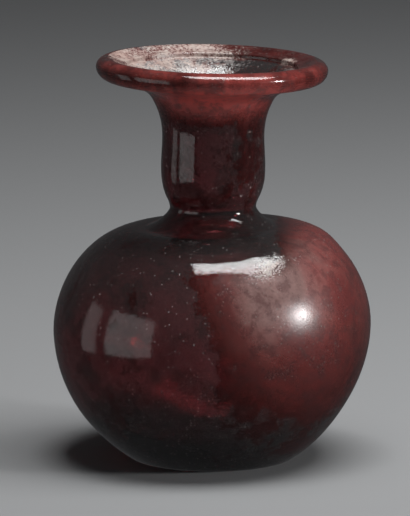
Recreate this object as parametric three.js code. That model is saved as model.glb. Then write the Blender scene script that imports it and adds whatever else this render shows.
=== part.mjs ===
// A free-blown glass perfume flask: a squat round body on a flattened base, a cylindrical neck
// pinched in where it meets the shoulder, and a broad disc rim whose edge is folded inwards.
// Units are millimetres and +Z is up. The origin is the middle of the base, where it rests.

import * as THREE from "three";

// ---- Driving dimensions -------------------------------------------------------------------

const HEIGHT = 90.6;
const BODY_RADIUS = 36;
const WALL = 2.1;
const SIDES = 60;

// Body: its widest ring, and the flattened superellipse that carries it down to the base.
const WIDEST_Z = 29.6;
const UNDERBODY_DEPTH = 35.43;
const UNDERBODY_POWER = 1.908;

// Base: a ring that touches the ground, a shallow kick inside it, and a thicker floor.
const CONTACT_INNER_RADIUS = 13.5;
const KICK_HEIGHT = 1.1;
const BASE_WALL = 3.2;
const BASE_WALL_TOP_Z = 12;

// Shoulder: nearly flat where it meets the hollow curve at the foot of the neck.
const SHOULDER_RADIUS = 15.5;
const SHOULDER_Z = 52.6;

// Neck: the pinch at its foot, the bulge above it, the waist, and where the flare opens.
const PINCH_RADIUS = 9.8;
const PINCH_Z = 57;
const BULGE_RADIUS = 11.85;
const BULGE_Z = 66.2;
const WAIST_RADIUS = 11.62;
const WAIST_Z = 73;
const FLARE_RADIUS = 14;
const FLARE_Z = 81.9;

// Rim: a disc whose edge is a flattened roll, with the free lip of the fold lying inside it.
const RIM_RADIUS = 26.05;
const ROLL_RADIUS = 23.3;
const ROLL_UNDER_Z = 85.7;
const ROLL_EDGE_Z = 88.54;
const LIP_RADIUS = 19.3;
const LIP_DROP = 1.3;
const LIP_THICKNESS = 1.1;

// Headings of the profile in degrees, as it is followed: 0 is outwards and 90 is up.
const OUTWARDS = 0;
const UP = 90;
const INWARDS = 180;
const DOWN = 270;
const SHOULDER_HEADING = 183;
const FLARE_HEADING = 60;
const UNDER_RIM_HEADING = 8;
const LIP_HEADING = 189;
const FUNNEL_HEADING = 195;
const FLOOR_HEADING = 213;

// Slight leans left by the making: the body rises to +X, the rim dips to +X, the neck is off-centre.
const BODY_TILT = 0.022;
const RIM_TILT = -0.02;
const NECK_OFFSET = 0.25;

// ---- Profile helpers ----------------------------------------------------------------------

const at = (radius, z) => new THREE.Vector2(radius, z);

// A smooth stretch of profile. Each pull is how far it holds its heading at that end.
function sweep({ from, leaving, pull, to, arriving, pullIn, steps }) {
  const ahead = (heading, distance) => {
    const angle = THREE.MathUtils.degToRad(heading);
    return at(distance * Math.cos(angle), distance * Math.sin(angle));
  };
  const first = from.clone().add(ahead(leaving, pull));
  const second = to.clone().sub(ahead(arriving, pullIn));
  return new THREE.CubicBezierCurve(from, first, second, to).getPoints(steps);
}

// A quarter of an ellipse that ends a whole number of quarter turns from the outward direction.
function quarter(centre, acrossRadius, upRadius, startTurn, steps) {
  const start = (startTurn * Math.PI) / 2;
  const end = start + Math.PI / 2;
  const curve = new THREE.EllipseCurve(centre.x, centre.y, acrossRadius, upRadius, start, end);
  return curve.getPoints(steps);
}

// The lower body, from the ground up to the widest ring.
function underbody(steps) {
  const groundAngle = Math.asin((WIDEST_Z / UNDERBODY_DEPTH) ** (UNDERBODY_POWER / 2));
  const points = [];
  for (let i = 0; i <= steps; i++) {
    const angle = groundAngle * (1 - i / steps);
    const across = Math.cos(angle) ** (2 / UNDERBODY_POWER);
    const down = Math.sin(angle) ** (2 / UNDERBODY_POWER);
    points.push(at(BODY_RADIUS * across, WIDEST_Z - UNDERBODY_DEPTH * down));
  }
  return points;
}

// Joins stretches of profile end to end, leaving out each point that two of them share.
function joined(...stretches) {
  return stretches.flatMap((points, i) => (i === 0 ? points : points.slice(1)));
}

// The glass is thicker low in the body, where it settled.
function wallAt(z) {
  const settled = 1 - THREE.MathUtils.smoothstep(z, 0, BASE_WALL_TOP_Z);
  return THREE.MathUtils.lerp(WALL, BASE_WALL, settled);
}

// The inner side of a wall whose outer side runs upwards: each point moved in by the wall there.
function innerSide(points) {
  return points.map((point, i) => {
    const before = points[Math.max(i - 1, 0)];
    const after = points[Math.min(i + 1, points.length - 1)];
    const along = after.clone().sub(before).normalize();
    const inwards = at(-along.y, along.x);
    return point.clone().addScaledVector(inwards, wallAt(point.y));
  });
}

// ---- Stretches of the outer side, from the ground up ----------------------------------------

const widest = at(BODY_RADIUS, WIDEST_Z);
const shoulderEnd = at(SHOULDER_RADIUS, SHOULDER_Z);
const pinch = at(PINCH_RADIUS, PINCH_Z);
const bulge = at(BULGE_RADIUS, BULGE_Z);
const waist = at(WAIST_RADIUS, WAIST_Z);
const flareStart = at(FLARE_RADIUS, FLARE_Z);
const rollBottom = at(ROLL_RADIUS, ROLL_UNDER_Z);
const crown = at(ROLL_RADIUS, HEIGHT);
const kickTop = at(0, KICK_HEIGHT);
const contactInner = at(CONTACT_INNER_RADIUS, 0);

const kick = sweep({
  from: kickTop,
  leaving: OUTWARDS,
  pull: 6.7,
  to: contactInner,
  arriving: OUTWARDS,
  pullIn: 4,
  steps: 3,
});

const lowerBody = underbody(8);
const contactRing = [contactInner, lowerBody[0]];

const shoulder = sweep({
  from: widest,
  leaving: UP,
  pull: 10.7,
  to: shoulderEnd,
  arriving: SHOULDER_HEADING,
  pullIn: 12.2,
  steps: 10,
});

const neckRoot = sweep({
  from: shoulderEnd,
  leaving: SHOULDER_HEADING,
  pull: 2,
  to: pinch,
  arriving: UP,
  pullIn: 1.4,
  steps: 3,
});

const neckBulge = sweep({
  from: pinch,
  leaving: UP,
  pull: 2.2,
  to: bulge,
  arriving: UP,
  pullIn: 6.5,
  steps: 4,
});

const neckWaist = sweep({
  from: bulge,
  leaving: UP,
  pull: 2.5,
  to: waist,
  arriving: UP,
  pullIn: 2.5,
  steps: 2,
});

const flare = sweep({
  from: waist,
  leaving: UP,
  pull: 3.6,
  to: flareStart,
  arriving: FLARE_HEADING,
  pullIn: 2.9,
  steps: 3,
});

const underRim = sweep({
  from: flareStart,
  leaving: FLARE_HEADING,
  pull: 2.2,
  to: rollBottom,
  arriving: UNDER_RIM_HEADING,
  pullIn: 4.5,
  steps: 3,
});

const rollCentre = at(ROLL_RADIUS, ROLL_EDGE_Z);
const rollReach = RIM_RADIUS - ROLL_RADIUS;
const rollBelow = quarter(rollCentre, rollReach, ROLL_EDGE_Z - ROLL_UNDER_Z, -1, 3);
const rollAbove = quarter(rollCentre, rollReach, HEIGHT - ROLL_EDGE_Z, 0, 3);

// ---- Stretches of the inner side, from the crown of the rim down ----------------------------

const lipTop = at(LIP_RADIUS + LIP_THICKNESS / 2, HEIGHT - LIP_DROP);
const lipEdge = at(LIP_RADIUS, lipTop.y - LIP_THICKNESS / 3);
const lipFoot = at(LIP_RADIUS - 0.1, lipTop.y - LIP_THICKNESS);

const foldTop = sweep({
  from: crown,
  leaving: INWARDS,
  pull: 1.3,
  to: lipTop,
  arriving: LIP_HEADING,
  pullIn: 1.3,
  steps: 2,
});

const innerWall = innerSide(joined(lowerBody, shoulder, neckRoot, neckBulge, neckWaist));

const funnel = sweep({
  from: lipFoot,
  leaving: FUNNEL_HEADING,
  pull: 5.2,
  to: innerWall[innerWall.length - 1],
  arriving: DOWN,
  pullIn: 8.8,
  steps: 5,
});

const floor = sweep({
  from: innerWall[0],
  leaving: FLOOR_HEADING,
  pull: 3.3,
  to: at(0, KICK_HEIGHT + BASE_WALL),
  arriving: INWARDS,
  pullIn: 6.7,
  steps: 3,
});

const profile = joined(
  kick,
  contactRing,
  lowerBody,
  shoulder,
  neckRoot,
  neckBulge,
  neckWaist,
  flare,
  underRim,
  rollBelow,
  rollAbove,
  foldTop,
  [lipTop, lipEdge, lipFoot],
  funnel,
  innerWall.toReversed(),
  floor,
);

// ---- The leans of the blown form ----------------------------------------------------------

const { smoothstep } = THREE.MathUtils;

// Each ring is sheared upright, so the base stays flat and the wall keeps its thickness.
function leaned(geometry) {
  const position = geometry.getAttribute("position");
  for (let i = 0; i < position.count; i++) {
    const x = position.getX(i);
    const z = position.getZ(i);
    const aboveBase = smoothstep(z, 0, CONTACT_INNER_RADIUS);
    const inBody = aboveBase * (1 - smoothstep(z, SHOULDER_Z, BULGE_Z));
    const inRim = smoothstep(z, BULGE_Z, FLARE_Z);
    const inNeck = smoothstep(z, SHOULDER_Z, PINCH_Z) * (1 - smoothstep(z, WAIST_Z, ROLL_EDGE_Z));
    position.setX(i, x + NECK_OFFSET * inNeck);
    position.setZ(i, z + x * (BODY_TILT * inBody + RIM_TILT * inRim));
  }
  return geometry;
}

// ---- The flask ----------------------------------------------------------------------------

function makeFlask() {
  const turned = new THREE.LatheGeometry(profile, SIDES).rotateX(Math.PI / 2);
  const wineGlass = new THREE.MeshStandardMaterial({
    color: 0x4a1a1c,
    roughness: 0.12,
    metalness: 0,
    transparent: true,
    opacity: 0.8,
  });
  const flask = new THREE.Mesh(leaned(turned), wineGlass);
  flask.name = "flask";
  return flask;
}

const part = new THREE.Group();
part.add(makeFlask());

export default part;
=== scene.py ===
# A free-blown glass perfume flask in dark wine-red glass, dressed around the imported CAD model.
# Lengths are millimetres in the profile and metres in the scene. +Z is up, and -Y faces the viewer.

import math

import bpy
import numpy as np
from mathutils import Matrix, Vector


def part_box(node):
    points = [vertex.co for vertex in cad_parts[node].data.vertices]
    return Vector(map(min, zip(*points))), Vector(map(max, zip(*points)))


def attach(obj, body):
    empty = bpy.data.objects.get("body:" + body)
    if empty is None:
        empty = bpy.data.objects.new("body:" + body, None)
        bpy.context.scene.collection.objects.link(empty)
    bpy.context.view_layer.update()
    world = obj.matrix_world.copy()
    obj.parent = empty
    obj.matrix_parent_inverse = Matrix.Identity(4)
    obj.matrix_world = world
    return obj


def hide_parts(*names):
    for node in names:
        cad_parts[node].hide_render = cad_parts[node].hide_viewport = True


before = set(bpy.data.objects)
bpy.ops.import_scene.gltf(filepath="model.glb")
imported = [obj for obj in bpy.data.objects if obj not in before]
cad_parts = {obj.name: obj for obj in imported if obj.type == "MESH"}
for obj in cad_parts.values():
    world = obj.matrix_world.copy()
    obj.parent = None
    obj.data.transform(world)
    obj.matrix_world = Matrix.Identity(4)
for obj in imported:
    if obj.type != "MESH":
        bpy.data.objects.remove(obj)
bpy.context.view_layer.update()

MM = 0.001

# ---- Sizes, in millimetres ----------------------------------------------------------------------

NODE_LOW, NODE_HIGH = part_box("flask")
BODY_RADIUS = (NODE_HIGH.x - NODE_LOW.x) / 2 / MM
BODY_TILT = 0.022
RIM_TILT = -0.02
CROWN_RADIUS = 23.3
HEIGHT = NODE_HIGH.z / MM + CROWN_RADIUS * RIM_TILT
WALL = 2.1

WIDEST_Z = 29.6
UNDERBODY_DEPTH = 35.43
UNDERBODY_POWER = 1.908

CONTACT_INNER_RADIUS = 13.5
KICK_HEIGHT = 1.1
BASE_WALL = 3.2
BASE_WALL_TOP_Z = 12

SHOULDER_RADIUS, SHOULDER_Z = 15.5, 52.6
PINCH_RADIUS, PINCH_Z = 9.8, 57.0
BULGE_RADIUS, BULGE_Z = 11.85, 66.2
WAIST_RADIUS, WAIST_Z = 11.62, 73.0
FLARE_RADIUS, FLARE_Z = 14.0, 81.9

RIM_RADIUS = 26.05
ROLL_UNDER_Z = 85.7
ROLL_EDGE_Z = 88.54
LIP_RADIUS = 19.3
LIP_DROP = 1.3
LIP_THICKNESS = 1.1
NECK_OFFSET = 0.25

OUTWARDS, UP, INWARDS, DOWN = 0, 90, 180, 270
SHOULDER_HEADING = 183
FLARE_HEADING = 60
UNDER_RIM_HEADING = 8
LIP_HEADING = 189
FUNNEL_HEADING = 195
FLOOR_HEADING = 213

SIDES = 256
OUTER_STEPS, OUTER_NECK_STEPS = 46, 14
INNER_STEPS, INNER_NECK_STEPS = 32, 8

MEAN_STRAY = 0.1
SHOULDER_FULLNESS = 0.45
FULLEST_Z, FULLEST_RADIUS = 50.5, 26

# ---- Where the weathering, a painted haze and a painted reflection lie, in millimetres and in degrees round the axis ---

FILM_BORDER_X, FILM_BORDER_Z = 0.5, 39
FILM_BORDER_SLANT = 0.33
FILM_BORDER_BACK = 3.0
BARE_BODY, COVERED_BODY, WORN_SIDE = -0.4, 0.9, 0.3
BARE_UNDERBODY = -0.34
BARE_INSIDE = -0.3
THIN_ON_TOP = -0.05

CRUST_ON_TOP, CRUST_IN_THROAT, CRUST_STREAK, LEAST_CRUST = 0.66, 0.62, 0.7, 0.22
STREAK_TURN, STREAK_RADIUS = 27, 19.8
CLEAR_THROAT_TURN = 45
# a rough whitish patch on the front shoulder, its colour partly a painted reflection of the softbox
PAINTED_REFLECTION_PATCH_X, PAINTED_REFLECTION_PATCH_Z = 13, 47.7
# the middle of a greyed, lighter spot on the front between the two highlights: painted haze
PAINTED_HAZE_X, PAINTED_HAZE_Z = 14, 41


# ---- Profile ------------------------------------------------------------------------------------

def sweep(start, leaving, pull, end, arriving, pull_in, steps):
    """A smooth stretch that leaves start and reaches end on headings in degrees, held by the pulls."""
    def ahead(heading, distance):
        angle = math.radians(heading)
        return distance * np.array([math.cos(angle), math.sin(angle)])

    start, end = np.array(start, float), np.array(end, float)
    first = start + ahead(leaving, pull)
    second = end - ahead(arriving, pull_in)
    t = np.linspace(0, 1, steps + 1)[:, None]
    return (
        (1 - t) ** 3 * start
        + 3 * (1 - t) ** 2 * t * first
        + 3 * (1 - t) * t**2 * second
        + t**3 * end
    )


def quarter(centre, across, upwards, start_turn, steps):
    """A quarter of an ellipse, from a whole number of quarter turns past outwards."""
    angle = (start_turn + np.linspace(0, 1, steps + 1)) * math.pi / 2
    return np.stack(
        [centre[0] + across * np.cos(angle), centre[1] + upwards * np.sin(angle)], axis=1
    )


def underbody(steps):
    """The lower body, from the ground up to the widest ring."""
    ground = math.asin((WIDEST_Z / UNDERBODY_DEPTH) ** (UNDERBODY_POWER / 2))
    angle = ground * (1 - np.linspace(0, 1, steps + 1))
    across = np.cos(angle) ** (2 / UNDERBODY_POWER)
    down = np.sin(angle) ** (2 / UNDERBODY_POWER)
    return np.stack([BODY_RADIUS * across, WIDEST_Z - UNDERBODY_DEPTH * down], axis=1)


def joined(*stretches):
    """Stretches end to end, without the points they share."""
    return np.concatenate([stretches[0]] + [s[1:] for s in stretches[1:]])


def smoothstep(x, low, high):
    t = np.clip((x - low) / (high - low), 0, 1)
    return t * t * (3 - 2 * t)


def inner_side(points):
    """The inner side of the wall, each point moved in along its normal by the wall there."""
    padded = np.concatenate([points[:1], points, points[-1:]])
    along = padded[2:] - padded[:-2]
    along /= np.linalg.norm(along, axis=1)[:, None]
    wall = BASE_WALL + (WALL - BASE_WALL) * smoothstep(points[:, 1], 0, BASE_WALL_TOP_Z)
    return points + np.stack([-along[:, 1], along[:, 0]], axis=1) * wall[:, None]


def outer_stretches(body_steps, neck_steps):
    """The outer side from the contact ring to the waist of the neck, also the wall's pattern."""
    widest = (BODY_RADIUS, WIDEST_Z)
    shoulder_end = (SHOULDER_RADIUS, SHOULDER_Z)
    pinch = (PINCH_RADIUS, PINCH_Z)
    bulge = (BULGE_RADIUS, BULGE_Z)
    waist = (WAIST_RADIUS, WAIST_Z)
    return joined(
        underbody(body_steps),
        sweep(widest, UP, 10.7, shoulder_end, SHOULDER_HEADING, 12.2, body_steps),
        sweep(shoulder_end, SHOULDER_HEADING, 2, pinch, UP, 1.4, neck_steps),
        sweep(pinch, UP, 2.2, bulge, UP, 6.5, neck_steps),
        sweep(bulge, UP, 2.5, waist, UP, 2.5, neck_steps),
    )


def flask_profile():
    """The closed wall from the axis under the base, up the outside and back down the inside.

    Also the rows of the mesh at the rim's crown and at the foot of the lip.
    """
    outer = outer_stretches(OUTER_STEPS, OUTER_NECK_STEPS)
    inner = inner_side(outer_stretches(INNER_STEPS, INNER_NECK_STEPS))
    roll_bottom = (CROWN_RADIUS, ROLL_UNDER_Z)
    roll_centre = (CROWN_RADIUS, ROLL_EDGE_Z)
    roll_reach = RIM_RADIUS - CROWN_RADIUS
    flare = (FLARE_RADIUS, FLARE_Z)
    lip_centre = (LIP_RADIUS + LIP_THICKNESS / 2, HEIGHT - LIP_DROP - LIP_THICKNESS / 2)
    lip_top = (lip_centre[0], HEIGHT - LIP_DROP)
    lip_foot = (LIP_RADIUS - 0.1, lip_top[1] - LIP_THICKNESS)
    outside = joined(
        sweep((0, KICK_HEIGHT), OUTWARDS, 6.7, (CONTACT_INNER_RADIUS, 0), OUTWARDS, 4, 10),
        np.linspace((CONTACT_INNER_RADIUS, 0), outer[0], 4),
        outer,
        sweep((WAIST_RADIUS, WAIST_Z), UP, 3.6, flare, FLARE_HEADING, 2.9, 18),
        sweep(flare, FLARE_HEADING, 2.2, roll_bottom, UNDER_RIM_HEADING, 4.5, 16),
        quarter(roll_centre, roll_reach, ROLL_EDGE_Z - ROLL_UNDER_Z, -1, 18),
        quarter(roll_centre, roll_reach, HEIGHT - ROLL_EDGE_Z, 0, 18),
    )
    top = joined(
        sweep((CROWN_RADIUS, HEIGHT), INWARDS, 1.3, lip_top, LIP_HEADING, 1.3, 14),
        quarter(lip_centre, LIP_THICKNESS / 2, LIP_THICKNESS / 2, 1, 6),
        np.linspace((LIP_RADIUS, lip_centre[1]), lip_foot, 4),
    )
    inside = joined(
        sweep(lip_foot, FUNNEL_HEADING, 5.2, inner[-1], DOWN, 8.8, 28),
        inner[::-1],
        sweep(inner[0], FLOOR_HEADING, 3.3, (0, KICK_HEIGHT + BASE_WALL), INWARDS, 6.7, 14),
    )
    crown, foot = len(outside) - 2, len(outside) + len(top) - 3
    return joined(outside, top, inside), crown, foot


# ---- Mesh ---------------------------------------------------------------------------------------

def lean(x, z):
    """The leans left by the making, as on the CAD solid."""
    in_body = smoothstep(z, 0, CONTACT_INNER_RADIUS) * (1 - smoothstep(z, SHOULDER_Z, BULGE_Z))
    in_rim = smoothstep(z, BULGE_Z, FLARE_Z)
    in_neck = smoothstep(z, SHOULDER_Z, PINCH_Z) * (1 - smoothstep(z, WAIST_Z, ROLL_EDGE_Z))
    return x + NECK_OFFSET * in_neck, z + x * (BODY_TILT * in_body + RIM_TILT * in_rim)


def bump_at(value, centre, spread):
    """A rounded bump of height one around the centre."""
    return np.exp(-(((value - centre) / spread) ** 2))


def hand_blown(turn, z):
    """How far in the wall strays from true at each place, in millimetres, from 0 to about 0.2."""
    slow = np.sin(2 * turn + 0.09 * z + 0.6) + 0.7 * np.sin(3 * turn - 0.13 * z + 2.1)
    fine = np.sin(7 * turn + 0.35 * z + 1.3) + 0.8 * np.sin(11 * turn - 0.5 * z + 4.0)
    return MEAN_STRAY + 0.045 * slow + 0.007 * fine


def film_on_glass(x, y, z, outside, inside):
    """How thick the weathering film lies: 1 is thick, and at -0.3 the glass is nearly bare. On the
    flare and the rim's front and back the film also carries a painted glow.
    """
    border = FILM_BORDER_X + FILM_BORDER_SLANT * np.clip(FILM_BORDER_Z - z, -6, 40)
    border = border - FILM_BORDER_BACK * smoothstep(y, 0, 20)
    right = smoothstep(x - border, -10, 11)
    bare_shoulder = smoothstep(z, 45, 49.5) * (1 - smoothstep(x, 11, 22))
    covered = COVERED_BODY - WORN_SIDE * smoothstep(x, 24, 33)
    body = BARE_BODY + covered * right * (1 - bare_shoulder)
    # the film thins towards the bottom, and the lower body reads darker there
    low = 1 - smoothstep(z, 6, 34)
    body += low * (BARE_UNDERBODY - body) * 0.9
    neck = -0.4 + 0.2 * smoothstep(x, 2, 8)
    # on the flare and rim the film thickens towards the front and back and below the roll's edge: a
    # painted glow, as though lit from within
    facing = (y / np.maximum(np.hypot(x, y), 1)) ** 2
    rim = -0.22 + 0.95 * facing * smoothstep(88.8 - z, 0, 3) + 0.35 * facing
    outer = body + (neck - body) * smoothstep(z, 53, 58)
    outer += (rim - outer) * smoothstep(z, 75.5, 83)
    return np.where(outside, outer, np.where(inside, BARE_INSIDE, THIN_ON_TOP))


def crust_on_rim(x, y, z, outside, inside):
    """How much white crust lies on the rim's top and in the throat, and how much of a whitish patch,
    partly a painted reflection, lies on the shoulder, from 0 to 1.
    """
    turn = np.degrees(np.arctan2(y, x)) % 360
    r = np.hypot(x, y)
    top = smoothstep(turn, 35, 100) * (1 - smoothstep(turn, 165, 215))
    streak = bump_at(turn, STREAK_TURN, 13) * bump_at(r, STREAK_RADIUS, 1.2)
    top = np.maximum(np.maximum(CRUST_ON_TOP * top, CRUST_STREAK * streak), LEAST_CRUST)
    clear_side = 1 - 0.7 * bump_at(turn, CLEAR_THROAT_TURN, 38)
    throat = CRUST_IN_THROAT * smoothstep(z, 68, 84) * clear_side
    # a rough whitish patch on the front shoulder: partly a dull worn spot, partly a painted reflection
    # of the softbox
    patch_middle = PAINTED_REFLECTION_PATCH_Z + 0.15 * (x - PAINTED_REFLECTION_PATCH_X)
    rough_patch_and_painted_reflection = 0.8 * bump_at(x, PAINTED_REFLECTION_PATCH_X, 5) * bump_at(z, patch_middle, 2.7) * (y < 0)
    return np.where(outside, rough_patch_and_painted_reflection, np.where(inside, throat, top))


def red_outside_painted_haze(x, y, z):
    """How red the film looks, from greyed (0) to clear red (1); the greyed spot on the front between
    the highlights is a painted haze.
    """
    # the greyed spot in front, between the highlights, is painted haze
    grey = bump_at(x, PAINTED_HAZE_X, 11) * bump_at(z, PAINTED_HAZE_Z, 9) * smoothstep(-y, 0, 10)
    return 0.85 - 0.7 * grey


def make_flask():
    """The flask's closed mesh, with its weathering, its painted glow, painted haze and painted
    reflection as values on its vertices.
    """
    profile, crown, lip_foot = flask_profile()
    radius, height = profile[1:-1, 0], profile[1:-1, 1]
    rows = len(radius)
    turn = np.linspace(0, 2 * math.pi, SIDES, endpoint=False)
    r = radius[:, None] + 0 * turn
    z = height[:, None] + 0 * turn
    row = np.arange(rows)[:, None] + 0 * turn.astype(int)
    outside, inside = row < crown, row > lip_foot

    in_wall = smoothstep(z, 1.5, 9) * (1 - smoothstep(z, 84, 88))
    to_the_right = (0.5 + 0.5 * np.cos(turn)) ** 4
    full = SHOULDER_FULLNESS * bump_at(z, FULLEST_Z, 3.2) * bump_at(r, FULLEST_RADIUS, 6) * to_the_right
    r = r - in_wall * hand_blown(turn, z) + full * outside
    z = z + 0.7 * full * outside
    x, y = r * np.cos(turn), r * np.sin(turn)
    x, z = lean(x, z)

    rings = np.stack([x, y, z], axis=-1).reshape(-1, 3)
    under, over = [0, 0, profile[0, 1]], [0, 0, profile[-1, 1]]
    vertices = np.concatenate([rings, [under, over]])
    faces = []
    for i in range(rows - 1):
        for j in range(SIDES):
            k = (j + 1) % SIDES
            faces.append((i * SIDES + j, i * SIDES + k, (i + 1) * SIDES + k, (i + 1) * SIDES + j))
    first, last = 0, (rows - 1) * SIDES
    pole_under, pole_over = rows * SIDES, rows * SIDES + 1
    for j in range(SIDES):
        k = (j + 1) % SIDES
        faces.append((pole_under, first + k, first + j))
        faces.append((pole_over, last + j, last + k))
    mesh = bpy.data.meshes.new("blown_flask")
    mesh.from_pydata((vertices * MM).tolist(), [], faces)
    mesh.shade_smooth()

    px, py, pz = vertices.T
    out = np.append(outside.reshape(-1), [True, False])
    ins = np.append(inside.reshape(-1), [False, True])
    for name, values in (
        ("film", film_on_glass(px, py, pz, out, ins)),
        ("crust", crust_on_rim(px, py, pz, out, ins)),
        ("red_outside_painted_haze", red_outside_painted_haze(px, py, pz)),
        # the outside of the flare and rim, coloured as a painted glow
        ("glow", smoothstep(pz, 76, 82) * out),
    ):
        layer = mesh.attributes.new(name, "FLOAT", "POINT")
        layer.data.foreach_set("value", values.astype(np.float32))
    flask = bpy.data.objects.new("blown_flask", mesh)
    bpy.context.collection.objects.link(flask)
    return flask


# ---- Materials ----------------------------------------------------------------------------------

class Nodes:
    """Short ways to add shader nodes to one material."""

    def __init__(self, material):
        self.tree = material.node_tree

    def add(self, kind, **settings):
        made = self.tree.nodes.new(kind)
        for name, value in settings.items():
            setattr(made, name, value)
        return made

    def put(self, socket, value):
        if isinstance(value, bpy.types.NodeSocket):
            self.tree.links.new(value, socket)
        else:
            socket.default_value = value

    def maths(self, operation, *values):
        made = self.add("ShaderNodeMath", operation=operation)
        for socket, value in zip(made.inputs, values):
            self.put(socket, value)
        return made.outputs[0]

    def swing(self, noise, amount):
        """The noise about zero, so many times as strong."""
        return self.maths("MULTIPLY", self.maths("SUBTRACT", noise, 0.5), amount)

    def total(self, first, *others):
        for other in others:
            first = self.maths("ADD", first, other)
        return first

    def ramp(self, value, low, high, start=0.0, end=1.0, smooth=True):
        made = self.add("ShaderNodeMapRange")
        made.interpolation_type = "SMOOTHSTEP" if smooth else "LINEAR"
        for socket, item in zip(made.inputs, (value, low, high, start, end)):
            self.put(socket, item)
        return made.outputs["Result"]

    def blend(self, share, first, second):
        made = self.add("ShaderNodeMix", data_type="RGBA")
        self.put(made.inputs[0], share)
        self.put(made.inputs[6], first)
        self.put(made.inputs[7], second)
        return made.outputs[2]

    def layer(self, name):
        return self.add("ShaderNodeAttribute", attribute_name=name).outputs["Fac"]

    def noise(self, place, scale, detail=3.0, rough=0.55, warp=0.0):
        made = self.add("ShaderNodeTexNoise")
        self.put(made.inputs["Vector"], place)
        made.inputs["Scale"].default_value = scale
        made.inputs["Detail"].default_value = detail
        made.inputs["Roughness"].default_value = rough
        made.inputs["Distortion"].default_value = warp
        return made.outputs["Fac"]

    def dots(self, place, scale, size, share):
        """Scattered dots, one where a cell's own colour falls in the share that has one."""
        made = self.add("ShaderNodeTexVoronoi")
        self.put(made.inputs["Vector"], place)
        made.inputs["Scale"].default_value = scale
        chance = self.add("ShaderNodeSeparateColor")
        self.put(chance.inputs[0], made.outputs["Color"])
        near = self.ramp(made.outputs["Distance"], size, size * 0.5)
        return self.maths("MULTIPLY", near, self.maths("LESS_THAN", chance.outputs[0], share))


def rgb(red, green, blue):
    return (red, green, blue, 1.0)


# greyed film, both in random clouds and as the painted haze between the highlights
GREYED_FILM_AND_PAINTED_HAZE = rgb(0.60, 0.36, 0.33)
RED_FILM = rgb(0.46, 0.09, 0.08)
WORN_FILM = rgb(0.20, 0.05, 0.05)
# a bright red painted glow for the flare and rim, as though lit from within
RIM_PAINTED_GLOW = rgb(0.86, 0.15, 0.13)
STAINED_FILM = rgb(0.15, 0.05, 0.05)
CREAM_CRUST = rgb(0.68, 0.64, 0.58)
PINK_CRUST = rgb(0.52, 0.38, 0.33)
SPECK_COLOUR = rgb(0.62, 0.56, 0.5)
GLASS_COLOUR = rgb(0.565, 0.049, 0.112)
GLASS_DENSITY = 950
GLASS_IOR = 1.55
HAZE_ROUGHNESS = 0.3
RELIEF_DEPTH = 0.00012


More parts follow.
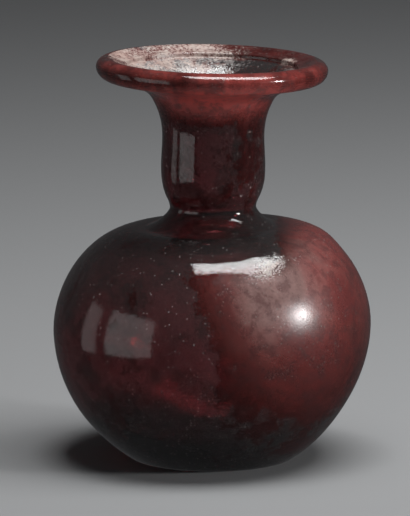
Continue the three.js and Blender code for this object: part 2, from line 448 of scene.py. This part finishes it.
def wine_glass():
    """Dark wine-red glass under a thin uneven weathering film, with white crust round the mouth, a red
    glow painted on the flare and rim, a painted haze between the highlights and a shoulder patch partly
    painted as a reflection.
    """
    material = bpy.data.materials.new("wine_glass")
    material.use_nodes = True
    n = Nodes(material)
    shader = n.tree.nodes["Principled BSDF"]
    place = n.add("ShaderNodeTexCoord").outputs["Object"]
    cloud = n.noise(place, 75, 4, 0.6, 0.6)
    mottle = n.noise(place, 330, 4, 0.65, 0.3)
    grain = n.noise(place, 1700, 2, 0.6)
    axes = n.add("ShaderNodeSeparateXYZ")
    n.put(axes.inputs[0], place)
    height = axes.outputs["Z"]
    drawn = n.add("ShaderNodeVectorMath", operation="MULTIPLY")
    n.put(drawn.inputs[0], place)
    drawn.inputs[1].default_value = (1, 1, 0.16)
    streaks = n.maths("SUBTRACT", n.noise(drawn.outputs[0], 300, 4, 0.6, 0.5), 0.5)
    up_the_neck = n.ramp(height, 0.053, 0.06, 0.1, 0.6)

    # the film, with a painted glow on the flare and rim and a painted haze between the highlights
    uneven = n.total(n.swing(cloud, 1.0), n.swing(mottle, 0.6), n.swing(grain, 0.3))
    uneven = n.maths("ADD", uneven, n.maths("MULTIPLY", streaks, up_the_neck))
    thickness = n.maths("ADD", n.layer("film"), uneven)
    film = n.ramp(thickness, -0.3, 1.15, 0.03, 0.88, smooth=False)
    # the film greys in random clouds and in the painted haze spot between the highlights
    red = n.ramp(n.maths("ADD", n.layer("red_outside_painted_haze"), n.maths("SUBTRACT", cloud, 0.5)), 0.1, 0.9)
    film_colour = n.blend(red, GREYED_FILM_AND_PAINTED_HAZE, RED_FILM)
    worn = n.ramp(cloud, 0.44, 0.64, 0.0, 0.6)
    film_colour = n.blend(worn, film_colour, WORN_FILM)
    # on the flare and rim the film takes the painted glow colour
    film_colour = n.blend(n.layer("glow"), film_colour, RIM_PAINTED_GLOW)
    stain = n.ramp(mottle, 0.42, 0.64, 0.0, 0.65)
    film_colour = n.blend(stain, film_colour, STAINED_FILM)

    # the crust, also the shoulder patch whose whitish colour is partly a painted reflection
    flaky = n.total(n.swing(cloud, 0.9), n.swing(mottle, 1.0), n.swing(grain, 1.0))
    crust = n.ramp(n.maths("ADD", n.layer("crust"), flaky), 0.2, 0.95, 0.0, 0.88)
    crust_colour = n.blend(n.ramp(cloud, 0.42, 0.7), CREAM_CRUST, PINK_CRUST)

    # specks and pits
    fine = n.maths("MULTIPLY", n.dots(place, 1250, 0.3, 0.2), 0.3)
    coarse = n.maths("MULTIPLY", n.dots(place, 480, 0.15, 0.14), n.ramp(height, 0.02, 0.04))
    specks = n.maths("MAXIMUM", fine, n.maths("MULTIPLY", coarse, 0.42))

    colour = n.blend(n.ramp(film, 0.0, 0.1), rgb(1, 1, 1), film_colour)
    colour = n.blend(crust, colour, crust_colour)
    colour = n.blend(specks, colour, SPECK_COLOUR)
    covered = n.maths("MAXIMUM", n.maths("MAXIMUM", film, crust), specks)
    n.put(shader.inputs["Base Color"], colour)
    n.put(shader.inputs["Transmission Weight"], n.maths("SUBTRACT", 1.0, covered))
    dull = n.ramp(film, 0.15, 0.6, 0.03, 0.3)
    n.put(shader.inputs["Roughness"], n.maths("ADD", dull, n.maths("MULTIPLY", crust, 0.45)))
    haze = n.maths("MULTIPLY", n.ramp(film, 0.1, 0.7, 0.0, 0.6), n.maths("SUBTRACT", 1.0, crust))
    n.put(shader.inputs["Coat Weight"], haze)
    shader.inputs["Coat Roughness"].default_value = HAZE_ROUGHNESS
    shader.inputs["IOR"].default_value = GLASS_IOR

    # relief too fine for the mesh
    relief = n.maths("ADD", n.maths("MULTIPLY", crust, 0.6), n.maths("MULTIPLY", grain, 0.25))
    relief = n.maths("SUBTRACT", relief, n.maths("MULTIPLY", specks, 0.6))
    bump = n.add("ShaderNodeBump")
    bump.inputs["Distance"].default_value = RELIEF_DEPTH
    bump.inputs["Strength"].default_value = 0.6
    n.put(bump.inputs["Height"], relief)
    n.put(shader.inputs["Normal"], bump.outputs["Normal"])

    absorption = n.add("ShaderNodeVolumeAbsorption")
    absorption.inputs["Color"].default_value = GLASS_COLOUR
    absorption.inputs["Density"].default_value = GLASS_DENSITY
    n.put(n.tree.nodes["Material Output"].inputs["Volume"], absorption.outputs["Volume"])
    return material


def plain_floor():
    """Plain pale grey, without gloss."""
    material = bpy.data.materials.new("pale_floor")
    material.use_nodes = True
    shader = material.node_tree.nodes["Principled BSDF"]
    shader.inputs["Base Color"].default_value = rgb(0.3, 0.305, 0.31)
    shader.inputs["Roughness"].default_value = 0.8
    shader.inputs["Specular IOR Level"].default_value = 0.0
    return material


# ---- Stage --------------------------------------------------------------------------------------

FLOOR_RADIUS = 2.4
LAMP_DISTANCE = 0.8
PANEL_DISTANCE = 0.35
SOFTBOX_HEIGHT = 0.648
CAMERA_DISTANCE, CAMERA_ELEVATION = 1.15, 10.4
CAMERA_TARGET = Vector((-0.00158, -0.00015, 0.04518))
MIDDLE = Vector((0, 0, 0.046))


def make_floor():
    """The floor under the flask, left out of the reflections in it."""
    bpy.ops.mesh.primitive_circle_add(vertices=96, radius=FLOOR_RADIUS, fill_type="NGON")
    floor = bpy.context.object
    floor.name = "floor"
    floor.location.z = NODE_LOW.z
    floor.data.materials.append(plain_floor())
    floor.visible_glossy = False


def towards(azimuth, elevation):
    """A direction from the flask: azimuth 0 is at the camera and 90 at its right."""
    a, e = math.radians(azimuth), math.radians(elevation)
    return Vector((math.sin(a) * math.cos(e), -math.cos(a) * math.cos(e), math.sin(e)))


def soft_light(name, place, aim, size, radiance, shape="RECTANGLE"):
    """An area light of that size in metres, facing aim, with that radiance on its face."""
    data = bpy.data.lights.new(name, "AREA")
    data.shape = shape
    data.size = size[0]
    data.size_y = size[1]
    area = size[0] * size[1] * (math.pi / 4 if shape == "DISK" else 1)
    data.energy = radiance * area * math.pi
    light = bpy.data.objects.new(name, data)
    light.location = place
    light.rotation_euler = (place - aim).to_track_quat("Z", "Y").to_euler()
    light.visible_camera = False
    bpy.context.collection.objects.link(light)
    return light


def side_panel(name, azimuth, height, size, radiance):
    """A dim panel at the left that shows in the glass but doesn't light dull surfaces."""
    aim = Vector((0, 0, height))
    place = aim + PANEL_DISTANCE * towards(azimuth, 0)
    soft_light(name, place, aim, size, radiance).visible_diffuse = False


def make_lights():
    """A softbox overhead, two panels at the left, a round lamp at the right and a dim room."""
    above = Vector((0.1425, -0.02, SOFTBOX_HEIGHT))
    under = Vector((above.x, above.y, 0))
    soft_light("top_softbox", above, under, (0.515, 0.28), 10.5)
    side_panel("left_softbox", -61, 0.065, (0.24, 0.23), 0.85)
    side_panel("back_left_softbox", -96, 0.05, (0.09, 0.2), 0.5)
    right = MIDDLE + LAMP_DISTANCE * towards(69.5, 17)
    soft_light("right_lamp", right, MIDDLE, (0.13, 0.13), 60, shape="DISK")
    world = bpy.data.worlds.new("studio")
    world.use_nodes = True
    world.node_tree.nodes["Background"].inputs["Color"].default_value = rgb(0.05, 0.05, 0.052)
    bpy.context.scene.world = world


def make_camera():
    data = bpy.data.cameras.new("camera")
    data.lens = 355.3
    data.clip_end = 20
    camera = bpy.data.objects.new("camera", data)
    back = towards(0, CAMERA_ELEVATION)
    camera.location = CAMERA_TARGET + CAMERA_DISTANCE * back
    camera.rotation_euler = back.to_track_quat("Z", "Y").to_euler()
    bpy.context.collection.objects.link(camera)
    bpy.context.scene.camera = camera


# ---- The scene ----------------------------------------------------------------------------------

make_camera()
make_floor()
make_lights()

flask = make_flask()
flask.data.materials.append(wine_glass())
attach(flask, "root")
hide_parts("flask")

bpy.context.scene.view_settings.view_transform = "Standard"
